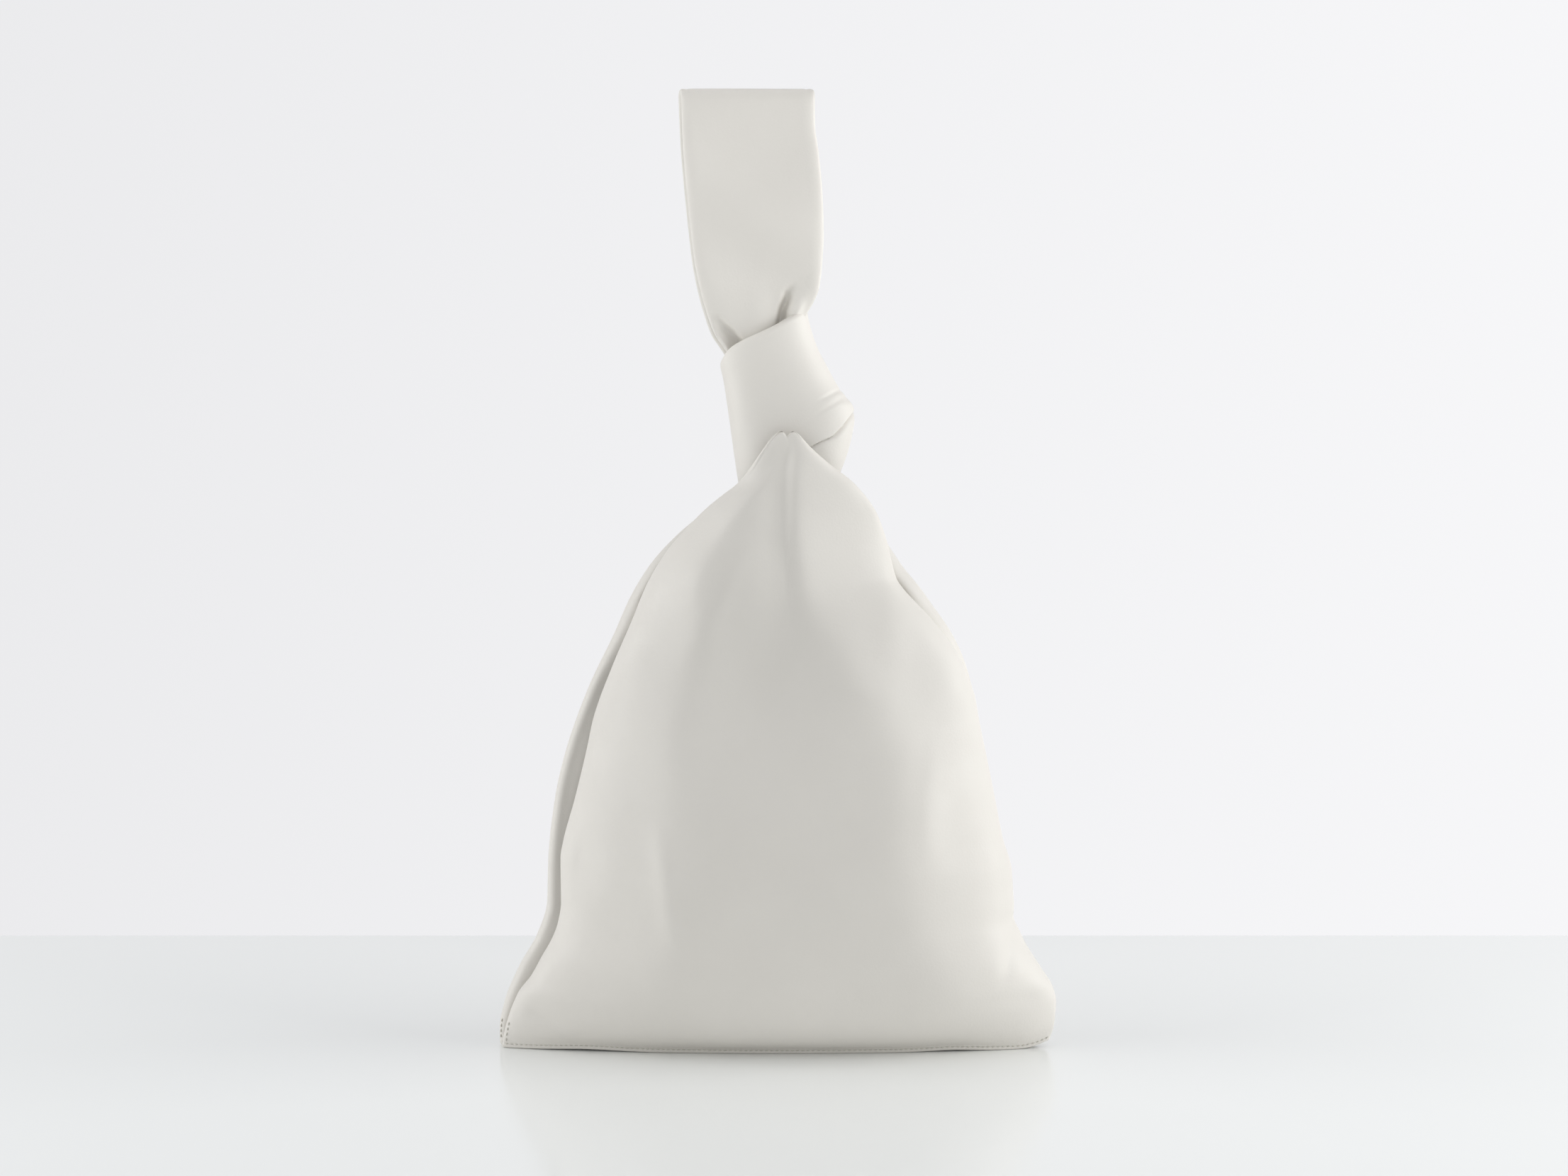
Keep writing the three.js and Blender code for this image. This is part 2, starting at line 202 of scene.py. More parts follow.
def lengths_along(grid, axis):
    """Distance along the grid from its first line, and from its last."""
    step = np.linalg.norm(np.diff(grid, axis=axis), axis=-1)
    pad = [(1, 0), (0, 0)] if axis == 0 else [(0, 0), (1, 0)]
    first = np.pad(np.cumsum(step, axis=axis), pad)
    return first, first.max(axis=axis, keepdims=True) - first


def edge_slant(grid):
    """How square the grid's lines are to its side edges, 1 where they are."""
    across = np.gradient(grid, axis=1)
    up = np.gradient(grid, axis=0)
    across /= np.maximum(np.linalg.norm(across, axis=-1, keepdims=True), 1e-9)
    up /= np.maximum(np.linalg.norm(up, axis=-1, keepdims=True), 1e-9)
    lean = np.sqrt(np.clip(1 - np.sum(across * up, -1) ** 2, 0.04, 1))
    return lean[:, 1:2], lean[:, -2:-1]


def sheet_mesh(name, grid, thickness, material, normal=None, edge=None):
    """A sheet with edges that round off over the edge distance, about a grid of middle points."""
    rows, columns = grid.shape[:2]
    left, right = lengths_along(grid, 1)
    low, high = lengths_along(grid, 0)
    left_slant, right_slant = edge_slant(grid)
    reach = np.minimum(np.minimum(left * left_slant, right * right_slant), np.minimum(low, high))
    inset = 1 - np.clip(reach / (edge or thickness / 2), 0, 1)
    half = thickness / 2 * np.sqrt(1 - inset ** 2)
    normal = normals_of(grid) if normal is None else normal
    outer = grid + normal * half[..., None]
    inner = grid - normal * half[..., None]
    index = np.arange(rows * columns).reshape(rows, columns)
    under = index.copy()
    inside = (rows - 2) * (columns - 2)
    under[1:-1, 1:-1] = rows * columns + np.arange(inside).reshape(rows - 2, columns - 2)
    points = np.concatenate((outer.reshape(-1, 3), inner[1:-1, 1:-1].reshape(-1, 3)))
    faces = np.concatenate((grid_faces(index), grid_faces(under)[:, ::-1]))
    return add_mesh(name, points, faces, material)


def sleeve_mesh(name, grid, material):
    """A closed tube from a grid whose columns and rows both run round to their start."""
    rows, columns = grid.shape[:2]
    index = np.arange(rows * columns).reshape(rows, columns)
    index = np.pad(index, ((0, 1), (0, 1)), mode="wrap")
    return add_mesh(name, grid.reshape(-1, 3), grid_faces(index), material)


# Materials

def principled(name, roughness, sheen=0.0):
    material = bpy.data.materials.new(name)
    material.use_nodes = True
    nodes = material.node_tree.nodes
    shader = nodes["Principled BSDF"]
    shader.inputs["Roughness"].default_value = roughness
    shader.inputs["Sheen Weight"].default_value = sheen
    return material, nodes, material.node_tree.links, shader


def noise_node(nodes, links, place, scale, detail):
    node = nodes.new("ShaderNodeTexNoise")
    node.inputs["Scale"].default_value = scale
    node.inputs["Detail"].default_value = detail
    links.new(place.outputs["Object"], node.inputs["Vector"])
    return node


def ramp_node(nodes, links, source, *stops):
    node = nodes.new("ShaderNodeValToRGB")
    links.new(source, node.inputs["Fac"])
    elements = node.color_ramp.elements
    for element, (position, colour) in zip(elements, stops):
        element.position = position
        element.color = colour
    return node


def leather_material(name, light, shade, grain=0.1):
    """Smooth calf leather: cloudy dye, fine grain and soft pores."""
    material, nodes, links, shader = principled(name, 0.5)
    place = nodes.new("ShaderNodeTexCoord")
    clouds = noise_node(nodes, links, place, 14, 3)
    colour = ramp_node(nodes, links, clouds.outputs["Fac"], (0.3, shade), (0.7, light))
    links.new(colour.outputs["Color"], shader.inputs["Base Color"])
    gloss = ramp_node(nodes, links, noise_node(nodes, links, place, 60, 4).outputs["Fac"],
                      (0.3, (0.46, 0.46, 0.46, 1)), (0.7, (0.58, 0.58, 0.58, 1)))
    links.new(gloss.outputs["Color"], shader.inputs["Roughness"])
    pebbles = nodes.new("ShaderNodeTexVoronoi")
    pebbles.inputs["Scale"].default_value = 900
    links.new(place.outputs["Object"], pebbles.inputs["Vector"])
    pores = noise_node(nodes, links, place, 2200, 2)
    height = nodes.new("ShaderNodeMath")
    height.operation = "MULTIPLY_ADD"
    height.inputs[1].default_value = 0.5
    links.new(pores.outputs["Fac"], height.inputs[0])
    links.new(pebbles.outputs["Distance"], height.inputs[2])
    relief = nodes.new("ShaderNodeBump")
    relief.inputs["Strength"].default_value = grain
    relief.inputs["Distance"].default_value = 0.0003
    links.new(height.outputs["Value"], relief.inputs["Height"])
    links.new(relief.outputs["Normal"], shader.inputs["Normal"])
    return material


def suede_material(name, light, shade):
    """Napped lining: blotchy, rough and a little velvety."""
    material, nodes, links, shader = principled(name, 0.92, sheen=0.3)
    place = nodes.new("ShaderNodeTexCoord")
    nap = noise_node(nodes, links, place, 240, 5)
    colour = ramp_node(nodes, links, nap.outputs["Fac"], (0.35, shade), (0.65, light))
    links.new(colour.outputs["Color"], shader.inputs["Base Color"])
    relief = nodes.new("ShaderNodeBump")
    relief.inputs["Strength"].default_value = 0.3
    relief.inputs["Distance"].default_value = 0.0004
    links.new(noise_node(nodes, links, place, 1800, 3).outputs["Fac"], relief.inputs["Height"])
    links.new(relief.outputs["Normal"], shader.inputs["Normal"])
    return material


def thread_material(name, light, shade):
    """Twisted sewing thread: fine slanted plies, with painted shade in the grooves between them."""
    material, nodes, links, shader = principled(name, 0.6, sheen=0.15)
    place = nodes.new("ShaderNodeTexCoord")
    plies = nodes.new("ShaderNodeTexWave")
    plies.bands_direction = "DIAGONAL"
    plies.inputs["Scale"].default_value = 900
    links.new(place.outputs["Object"], plies.inputs["Vector"])
    # Painted shade: the same waves that raise the plies colour their grooves dark and their crests light
    colour = ramp_node(nodes, links, plies.outputs["Fac"], (0.2, shade), (0.8, light))
    links.new(colour.outputs["Color"], shader.inputs["Base Color"])
    relief = nodes.new("ShaderNodeBump")
    relief.inputs["Strength"].default_value = 0.4
    relief.inputs["Distance"].default_value = 0.0002
    links.new(plies.outputs["Fac"], relief.inputs["Height"])
    links.new(relief.outputs["Normal"], shader.inputs["Normal"])
    return material


leather = leather_material("leather", (0.742, 0.715, 0.666, 1), (0.707, 0.680, 0.632, 1))
suede = suede_material("suede", (0.60, 0.55, 0.47, 1), (0.50, 0.45, 0.38, 1))
# The thread's second, darker colour is the painted shade in the grooves between its plies
thread = thread_material("thread", (0.66, 0.64, 0.575, 1), (0.53, 0.515, 0.455, 1))

# Body outlines: (height, distance from the middle)
front_left = curve(
    (0, -129.7), (10, -127.6), (26, -121.6), (34, -115.5), (43, -110.5), (52, -105.4), (60, -102.4),
    (70, -100.8), (91, -100.9), (99, -99.6), (119, -94.1), (142, -88.5), (157, -85.2), (181, -76.4),
    (203, -66.9), (219, -60.3), (235, -50.6), (246, -41), (254, -33), (260, -25.8), (266, -18),
    (272, -12.8), (279, -7.9), (284, -4.4), (287.5, -1.8), (289.5, 0.6), (290.5, 3))
front_right = curve(
    (0, 127), (3, 128.6), (7, 129.7), (20, 130.5), (29, 128.6), (37, 124), (45, 118.8), (51, 115.3),
    (57, 112.9), (64, 111), (74, 109.8), (86, 108.9), (100, 104.8), (119, 101), (140, 96.7), (157, 93.2),
    (167, 91.4), (176, 88.1), (188, 82.6), (202, 72), (217, 58), (222, 54.6), (240, 49.8), (253, 44.9),
    (266, 35), (276, 22.3), (284, 13.4), (287.5, 10.3), (289.5, 8.2), (290.5, 6))
back_left = curve(
    (0, -131), (8, -131.2), (20, -129), (37, -122), (52, -113.5), (68, -108.6), (88, -108),
    (116, -104.9), (138, -100), (169, -89), (196, -76.1), (213, -68.5), (228, -59.3), (241, -47.6),
    (258, -27), (272, -9.4), (282, 1))
back_right = curve(
    (0, 128), (20, 128.5), (38, 121), (66, 106.5), (89, 105.5), (121, 99.5), (159, 93.5), (174, 90),
    (186, 86), (197, 80.5), (208, 72.8), (218, 65.6), (226, 59), (243, 47), (260, 30), (272, 17.5),
    (282, 7))

# Body sheets: depths, edge radii, and where the face bends, all by height
edge_depth = curve(
    (0, 3), (20, 4.2), (60, 5.6), (110, 6), (180, 5.6), (215, 5.2), (235, 7), (250, 10.5), (262, 15),
    (273, 19), (282, 22.4), (290.5, 23.4))
front_roll = curve((0, 0.8), (12, 1.0), (45, 1.7), (185, 1.7), (212, 3.2), (235, 3.0), (255, 1.3))
back_roll = curve(
    (0, 0.8), (12, 2.4), (30, 3.5), (48, 3.2), (75, 2.3), (170, 2.5), (200, 4.6), (225, 5), (262, 1.2))
valley_line = curve((190, 6.5), (206, 4.6), (219, 3.2), (233, 2.4), (246, 2), (268, 2.2), (288, 4.6))
sheet_depth = curve(
    (0, 15), (3.2, 15.9), (5, 18.8), (8, 23.8), (12, 28.6), (18, 32.8), (40, 40.5), (60, 45), (85, 47.6),
    (115, 45.6), (145, 42), (170, 38.6), (195, 36.6), (218, 35), (240, 31.6), (265, 28), (290.5, 24.5))
left_bend = curve(
    (0, 0.45), (55, 0.465), (90, 0.486), (125, 0.507), (160, 0.547), (186, 0.54), (205, 0.56),
    (225, 0.6), (250, 0.55), (275, 0.3))
right_bend = curve(
    (0, 0.55), (55, 0.58), (90, 0.57), (125, 0.55), (160, 0.495), (186, 0.34), (200, 0.25),
    (219, 0.135), (235, 0.095), (270, 0.085))
ridge_place = curve((222, 0), (240, -0.04), (255, -0.16), (268, -0.27), (280, -0.22), (290.5, -0.05))


def fold_depth(z):
    """How far the sides are folded in between the two sheets."""
    side = GUSSET_GROOVE * smooth(0, 70, z) * smooth(222, 175, z)
    return 2 + side + 5 * smooth(150, 200, z) * smooth(290, 240, z)


def fold_point(hand, z, q):
    """Middle of a side's fold: q is -1 at the front sheet's edge and 1 at the back sheet's."""
    front, back = (front_left, back_left) if hand == LEFT else (front_right, back_right)
    reach = mix(front(z), back(z), (q + 1) / 2)
    inward = fold_depth(z) * np.cos(q * math.pi / 2) ** 2
    return reach - hand * inward, q * edge_depth(z)


def fall(u, bend, softness):
    """Soft bend of a sheet: nearly level up to the bend, then a steady slope."""
    return softness * (np.logaddexp(0, (u - bend) / softness) - np.logaddexp(0, -bend / softness))


def face_shape(u, z):
    """Crown of a sheet across its width: flat with bent sides, then with a ridge, and round at the peak."""
    ridge_at = ridge_place(z)
    u = (u - ridge_at) / np.where(u < ridge_at, 1 + ridge_at, 1 - ridge_at)
    bend = np.where(u < 0, left_bend(z), right_bend(z)) + 0.02 * np.sin(z / 17)
    softness = np.where(u < 0, 0.042, mix(0.06, 0.052, smooth(190, 230, z)))
    crown = mix(0.04, 0.26, smooth(195, 240, z)) * u * u
    flat_face = 1 - crown - 0.6 * fall(np.abs(u), bend, softness) / fall(1, bend, softness)
    boxy = flat_face * np.sqrt(np.maximum(1 - u ** 16, 0))
    round_face = np.maximum(1 - u * u, 0)
    lip = 0.62 * round_face + 0.38 * np.sqrt(np.maximum(1 - u ** 12, 0))
    return mix(round_face ** 0.8, mix(lip, boxy, smooth(289, 266, z)), smooth(0, 45, z))


def fold_along(path, x, z, left, right):
    """A soft fold along a path, with a width for its left and right slope, and the way along the path."""
    away, along = distance_to(path, x, z)
    return bell(away, 0, np.where(away > 0, left, right)), along


def pleat(path, x, z, left, right):
    """A soft fold that fades at both ends of its path."""
    fold, along = fold_along(path, x, z, left, right)
    fade = smooth(0, 0.3, along) * smooth(1, 0.6, along)
    return fold * fade


def soft_dents(x, z):
    """Shallow dents and swells of the front sheet, inwards positive."""
    hollow = 5.0 * bell(x, -7, 29) * bell(z, 178, 35)
    waist = 2.2 * bell(x, -91, 10) * bell(z, 91, 15)
    bulge = -1.6 * bell(x, 100, 13) * bell(z, 46, 22)
    corner = -0.7 * bell(x, 53, 8) * smooth(150, 200, z) * smooth(232, 216, z)
    fold, way = fold_along([(-123, 24), (-115, 18.6), (-104, 15.4), (-90, 13.6)], x, z, 4.6, 3.0)
    hem_fold = 1.1 * fold * smooth(0, 0.5, way) * smooth(1, 0.55, way)
    fold, way = fold_along([(109, 66), (107.5, 55), (106, 44), (104, 30)], x, z, 4.2, 3.2)
    side_fold = 1.6 * fold * smooth(1, 0.55, way)
    low_corner = 0.7 * bell(x, 97, 9) * bell(z, 36, 9) + 0.6 * bell(x, 113, 11) * bell(z, 27, 4.5)
    pleats = -1.1 * pleat([(-54, 118), (-51, 90), (-48, 66), (-43, 50)], x, z, 3.6, 5)
    pleats = pleats - 0.65 * pleat([(76, 160), (69, 125), (68, 105), (72, 80)], x, z, 7, 5)
    pleats = pleats - 1.0 * pleat([(-14, 250), (-22, 224), (-33, 200), (-48, 176)], x, z, 6, 7)
    slack = 0.7 * np.sin(x / 23 + 1.3) * np.sin(z / 31 + 0.4) + 0.35 * np.sin(x / 11 - z / 17)
    slack = slack * smooth(0, 30, z) * smooth(290, 240, z)
    return hollow + bulge + corner + waist + hem_fold + side_fold + low_corner + pleats + slack


def peak_crease(x, z):
    """The pinch at the front sheet's peak and the soft crease below it, inwards positive."""
    away = x - valley_line(z)
    rise = smooth(190, 250, z)
    width = np.where(away < 0, mix(14, 10, rise), mix(8, 4.4, rise))
    depth = CREASE_DEPTH * smooth(175, 235, z) * mix(1, 0.45, smooth(277, 288, z))
    return depth * bell(away, 0, width)


def hem_corner(grid):
    """Rounds the hem up at its right corner and lets it wave a little off the floor."""
    x, z = grid[..., 0], grid[..., 2]
    corner = CORNER_RISE * np.clip((x - 112) / 18, 0, 1.1) ** 2 * smooth(40, 0, z)
    wave = (0.9 * bell(x, -90, 20) + 0.7 * bell(x, 82, 14)) * smooth(25, 0, z)
    grid[..., 2] = z + corner + wave
    return grid


def edge_turn(side, z):
    """Angle that a sheet's edge is rolled by: half round in front, less for the flat strip behind."""
    flat = mix(0.65, 1, np.maximum(smooth(70, 46, z), smooth(168, 192, z))) if side == BACK else 0.0
    return mix(math.pi, math.pi / 2, flat) * mix(1, 0.25, smooth(232, 262, z))


def rolled_edge(past, radius, turn, flange):
    """Steps inwards and towards the other sheet along a rolled edge, past running from 0 to 1."""
    angle = turn * np.minimum(past / 0.6, 1)
    return radius * (1 - np.cos(angle)) + flange * smooth(0.5, 1, past), radius * np.sin(angle)


def sheet_point(side, z, v, pinch=1.0):
    """Middle of a sheet at height z: v is -1 to 1 across, and runs on to -2 and 2 in the rolled edges."""
    u = np.clip(v, -1, 1)
    if side == FRONT:
        left, right, roll = front_left(z), front_right(z), front_roll(z)
    else:
        left, right = back_left(z), back_right(z)
        roll = back_roll(z) * (1 + 0.5 * smooth(172, 195, z) * (u > 0))
    past = np.abs(v) - np.abs(u)
    flange = FLANGE * smooth(215, 190, z) * (side == BACK)
    inward, forward = rolled_edge(past, roll, edge_turn(side, z), flange)
    x = mix(left, right, (u + 1) / 2) - np.sign(u) * inward
    if side == FRONT:
        x = x - 1.3 * bell(z, 62, 5) * smooth(0.8, 1, u)
    y = edge_depth(z) - forward + (sheet_depth(z) - edge_depth(z)) * face_shape(-side * u, z)
    if side == FRONT:
        dents = soft_dents(x, z) + peak_crease(x, z) * pinch
    else:
        dents = soft_dents(-x + 8, z * 1.04 - 8) * 0.6
    settle = smooth(1, 0.9, np.abs(u)) * smooth(0, 5, z)
    groove = STITCH_GROOVE * bell(z, HEM_STITCH_HEIGHT, 0.7)
    return hem_corner(np.stack((x, side * (y - dents * settle - groove), z), -1))


def body_sheet(side, z, v, pinch=1.0):
    """A grid of sheet points, turned so that its outer face looks outwards."""
    z, v = np.meshgrid(z, v[::-1] if side == BACK else v, indexing="ij")
    return sheet_point(side, z, v, pinch)


# The front and back sheets, each in one piece from the hem to its peak
wrap = np.linspace(0, 1, 15)[1:]
plain_columns = np.unique(np.concatenate((sine_spaced(141), np.linspace(-0.06, 0.16, 27))))
columns = np.concatenate((-1 - wrap[::-1], plain_columns, 1 + wrap))
heights = edge_spaced(0, PEAK_HEIGHT, 200, LEATHER / 2)
heights = np.unique(np.concatenate((heights, np.linspace(1, 8, 15), np.linspace(270, 288.5, 30))))


def peak_cleft(grid):
    """Parts the top of the front sheet into two small round bumps."""
    x, z = grid[..., 0], grid[..., 2]
    grid[..., 2] -= CLEFT_DEPTH * bell(x, 4.5, 1.0) * smooth(282, 290, z)
    return grid


front_grid = peak_cleft(body_sheet(FRONT, heights, columns))
front_normals = normals_of(body_sheet(FRONT, heights, columns, pinch=0.0))
front_sheet = sheet_mesh("front_sheet", front_grid, LEATHER, leather, front_normals)
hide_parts("front_panel", "front_lip")

back_heights = heights[heights < BACK_PEAK_HEIGHT - LEATHER]
back_heights = np.concatenate((back_heights, BACK_PEAK_HEIGHT - LEATHER / 2 * np.array([1, 0.38, 0.1, 0])))
back_grid = body_sheet(BACK, back_heights, columns)
back_sheet = sheet_mesh("back_sheet", back_grid, LEATHER, leather)
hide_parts("back_panel", "back_lip")


# Linings of the two sheets, set in from their edges
def lining_sheet(name, side, top, nodes):
    z = edge_spaced(LINING_FOOT, top - LINING_DROP, 70, LINING / 2)
    grid = body_sheet(side, z, sine_spaced(61) * 0.96)
    inward = LEATHER / 2 + LINING_GAP + LINING / 2
    piece = sheet_mesh(name, grid - normals_of(grid) * inward, LINING, suede)
    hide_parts(*nodes)
    return piece


front_lining = lining_sheet("front_suede", FRONT, PEAK_HEIGHT, ["front_lining", "front_lip_lining"])
back_lining = lining_sheet("back_suede", BACK, BACK_PEAK_HEIGHT, ["back_lining", "back_lip_lining"])


# Gussets, tucked under the sheets where these turn into the folds
def gusset(hand, name):
    rise = edge_spaced(GUSSET_FOOT, GUSSET_TOP, 90, LEATHER / 3)
    z, q = np.meshgrid(rise, np.linspace(-0.9, 0.9, 61), indexing="ij")
    x, y = fold_point(hand, z, q)
    grid = hem_corner(np.stack((x, y, z), -1))
    grid = grid if hand == RIGHT else grid[:, ::-1]
    inward = normals_of(grid)
    leather_grid = grid - inward * LEATHER
    piece = sheet_mesh(f"{name}_side", leather_grid, LEATHER * 0.6, leather)
    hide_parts(f"{name}_gusset")
    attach(piece, "bag_body")
    lining_grid = (grid - inward * (LEATHER * 1.3 + LINING_GAP + LINING / 2))[6:-6, 4:-4]
    lining = sheet_mesh(f"{name}_side_suede", lining_grid, LINING, suede)
    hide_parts(f"{name}_gusset_lining")
    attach(lining, "bag_body")


gusset(LEFT, "left")
gusset(RIGHT, "right")


# Base, a lens between the hems
def base_sheet(name, node, z, shrink, thickness, material):
    u = sine_spaced(61) * 0.95
    t = edge_spaced(-1, 1, 21, thickness / 2 / BASE_REACH)
    x = mix(front_left(0.0), front_right(0.0), (u + 1) / 2)
    reach = edge_depth(0.0) + (sheet_depth(0.0) - edge_depth(0.0)) * face_shape(u, np.zeros(u.shape))
    y = np.outer(t, np.maximum(reach - shrink, 0.4))
    grid = hem_corner(np.stack((np.broadcast_to(x, y.shape), y, np.full(y.shape, z)), -1))
    piece = sheet_mesh(name, grid, thickness, material)
    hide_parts(node)
    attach(piece, "bag_body")


base_sheet("base", "base_panel", LEATHER / 2, LEATHER / 2, LEATHER * 0.8, leather)
base_sheet("base_suede", "base_lining", LEATHER + LINING, LEATHER, LINING, suede)


# Straps: soft oval sections along a path in the bag's middle plane
def strap_mesh(name, path, half_width, half_thickness, material):
    """A padded strap with round ends; path is (x, z) points, width is along Y."""
    rows, sides = 60, 48
    along = np.linspace(0, len(path) - 1, rows)
    places = np.arange(len(path))
    px = curve(*zip(places, [p[0] for p in path]))(along)
    pz = curve(*zip(places, [p[1] for p in path]))(along)
    dx, dz = np.gradient(px), np.gradient(pz)
    size = np.hypot(dx, dz)
    lean_x, lean_z = (dz / size)[:, None], (dx / size)[:, None]
    turn = np.linspace(0, 2 * math.pi, sides, endpoint=False)
    ends = np.sqrt(np.maximum(1 - np.abs(np.linspace(-1, 1, rows)) ** 24, 0.01))
    wide = half_width * ends[:, None] * np.sign(np.cos(turn)) * np.abs(np.cos(turn)) ** 0.7
    thick = half_thickness * ends[:, None] * np.sign(np.sin(turn)) * np.abs(np.sin(turn)) ** 0.8
    grid = np.stack((px[:, None] - thick * lean_x, wide, pz[:, None] + thick * lean_z), -1)
    index = np.pad(np.arange(rows * sides).reshape(rows, sides), ((0, 0), (0, 1)), mode="wrap")
    faces = grid_faces(index).tolist() + [index[0, :-1][::-1].tolist(), index[-1, :-1].tolist()]
    return add_mesh(name, grid.reshape(-1, 3), faces, material)


LEFT_ROOT = [(-60, 196), (-53.5, 213), (-46, 225), (-36, 237), (-24, 249), (-11, 258.5), (3, 266)]
RIGHT_ROOT = [(60, 188), (54, 202), (47.5, 214), (41, 226), (34, 238), (25, 250.5), (14, 263)]
for name, path in (("long_handle_root", LEFT_ROOT), ("short_handle_root", RIGHT_ROOT)):
    root = strap_mesh(f"{name}_strap", path, ROOT_HALF_WIDTH, ROOT_HALF_THICKNESS, leather)
    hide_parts(name)
    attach(root, "bag_body")

# Sheets and linings, whose lips are already part of them, get their placement baked into their meshes
for piece, lip, side in (
        (front_sheet, "front_lip", FRONT), (front_lining, "front_lip", FRONT),
        (back_sheet, "back_lip", BACK), (back_lining, "back_lip", BACK)):
    depth = side * sheet_depth(MOUTH_HEIGHT) * MM
    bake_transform(piece)


# Stitching
def stitch_mesh(name, path, outward, node):
    """A row of short round stitches along a line of points, lying on the leather."""
    step = np.linalg.norm(np.diff(path, axis=0), axis=1)
    length = np.concatenate(([0], np.cumsum(step)))
    count = max(int(length[-1] / STITCH_PITCH), 2)
    centres = (np.arange(count) + 0.5) * length[-1] / count
    ends = np.linspace(-1, 1, 9)
    round_sides = 8
    turn = np.linspace(0, 2 * math.pi, round_sides, endpoint=False)
    radius = STITCH_RADIUS * np.sqrt(np.maximum(1 - ends ** 4, 0.04))
    arch = STITCH_ARCH * (1 - ends ** 2)
    points, faces = [], []
    for centre in centres:
        spots = centre + ends * STITCH_LENGTH / 2
        line = np.stack([np.interp(spots, length, path[:, k]) for k in range(3)], -1)
        out = np.array([np.interp(centre, length, outward[:, k]) for k in range(3)])
        along = line[-1] - line[0]
        side = np.cross(along, out)
        side /= np.linalg.norm(side)
        middle = line + out * arch[:, None]
        ring = np.cos(turn)[:, None] * side + np.sin(turn)[:, None] * out
        tube = middle[:, None] + radius[:, None, None] * ring
        index = np.arange(len(ends) * round_sides).reshape(-1, round_sides) + len(points)
        points.extend(tube.reshape(-1, 3))
        faces.extend(grid_faces(np.pad(index, ((0, 0), (0, 1)), mode="wrap")).tolist())
        faces.append(index[0].tolist())
        faces.append(index[-1][::-1].tolist())
    piece = add_mesh(name, points, faces, thread)
    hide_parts(node)
    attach(piece, "bag_body")


def surface_row(side, z, v):
    """Outer points and outward directions of a sheet along places z and v."""
    middle = sheet_point(side, z, v)
    across = sheet_point(side, z, v + 0.002) - sheet_point(side, z, v - 0.002)
    up = sheet_point(side, z + 0.2, v) - sheet_point(side, z - 0.2, v)
    out = np.cross(across, up) * -side
    out /= np.linalg.norm(out, axis=-1, keepdims=True)
    return middle + out * LEATHER / 2, out


for name, side in (("front", FRONT), ("back", BACK)):
    across = np.sin(np.linspace(-1, 1, 600) * math.radians(86))
    spots, out = surface_row(side, np.full(across.shape, HEM_STITCH_HEIGHT), across)
    stitch_mesh(f"{name}_hem_stitches", spots, out, f"{name}_hem_thread")
    for corner, hand in (("left", LEFT), ("right", RIGHT)):
        rise = np.linspace(HEM_STITCH_HEIGHT + 1, CORNER_STITCH_TOP, 40)
        place = 0.993 if (side, hand) == (FRONT, LEFT) else 1.3
        spots, out = surface_row(side, rise, np.full(rise.shape, hand * place))
        stitch_mesh(f"{name}_{corner}_corner_stitches", spots, out, f"{name}_{corner}_corner_thread")

# Knot: the short handle wrapped round the long one
knot_left = curve(
    (257, -16), (266, -18.4), (279, -20.2), (297, -22.4), (315, -25), (323, -26.6), (330, -26.8),
    (344, -26))
knot_right = curve(
    (257, 24), (271, 29), (280, 32.2), (290, 35), (298, 36.3), (303, 35.6), (307, 32.6), (313, 28),
    (322, 23), (330, 18.8), (338, 16), (345, 14.3), (350, 13.6))
knot_rim = curve(
    (-28, 320), (-26.3, 323), (-23.2, 327.5), (-16.3, 331.5), (-8.4, 334.5), (-1.3, 337.4), (8, 342.2),
    (14, 345.4))
KNOT_CREASE = [(6, 279.5), (14.4, 283.5), (20, 286.4), (26, 289.4), (30.2, 293.7), (34.5, 298.8), (38, 303)]


def knot_point(angle, t):
    """The knot's face at an angle, 0 to the right and -90 degrees to the front; t is 1 at the rim."""
    share = np.cos(angle)
    # The rim's height follows from its x, and its x from the height, so both settle in a few rounds
    top = np.full(share.shape, 335.0)
    for _ in range(12):
        top = knot_rim(mix(knot_left(top), knot_right(top), (share + 1) / 2))
    z = mix(KNOT_FOOT + KNOT_FOOT_RISE * smooth(-0.2, -1, share), top, t)
    x = mix(knot_left(z), knot_right(z), (share + 1) / 2)
    flat = np.sign(np.sin(angle)) * np.abs(np.sin(angle)) ** 0.74
    y = KNOT_DEPTH * mix(0.9, 1.0, np.sin(np.pi * t)) * flat
    inset = knot_relief(x, y, z)
    return np.stack((x - np.cos(angle) * inset, y - np.sin(angle) * inset, z), -1)


def below_crease(x, z):
    """Height below the crease, which runs on straight past its ends."""
    start, end = KNOT_CREASE[0], KNOT_CREASE[-1]
    crease = curve(*KNOT_CREASE)
    slope = (end[1] - start[1]) / (end[0] - start[0])
    beyond = np.where(x > end[0], (x - end[0]) * slope, np.where(x < start[0], (x - start[0]) * slope, 0))
    return crease(x) + beyond - z


def tuck_step(below, y):
    """How far the knot's face steps in below the crease, to make room for the tucked layer."""
    return TUCK_DEPTH * smooth(-0.8, 0.9, below) * smooth(6, -2, y)


def knot_relief(x, y, z):
    """How far the knot's face lies below its plain form: the step at the crease and fine wrinkles."""
    wrinkle = 0.6 * bell((z - 309) - 0.5 * (x - 26), 0, 1.1) * bell(x, 26, 7)
    wrinkle = wrinkle + 0.4 * bell((z - 304) - 0.6 * (x - 26), 0, 1.3) * bell(x, 24, 9)
    wave = 0.35 * np.sin(x / 7 + z / 15)
    return tuck_step(below_crease(x, z), y) + wrinkle * (y < 4) + wave


def knot_rows(angles, rises):
    """Grids of the angles and of the knot's face there, one row for each rise."""
    angle, t = np.meshgrid(angles, rises, indexing="xy")
    return angle, knot_point(angle, t)


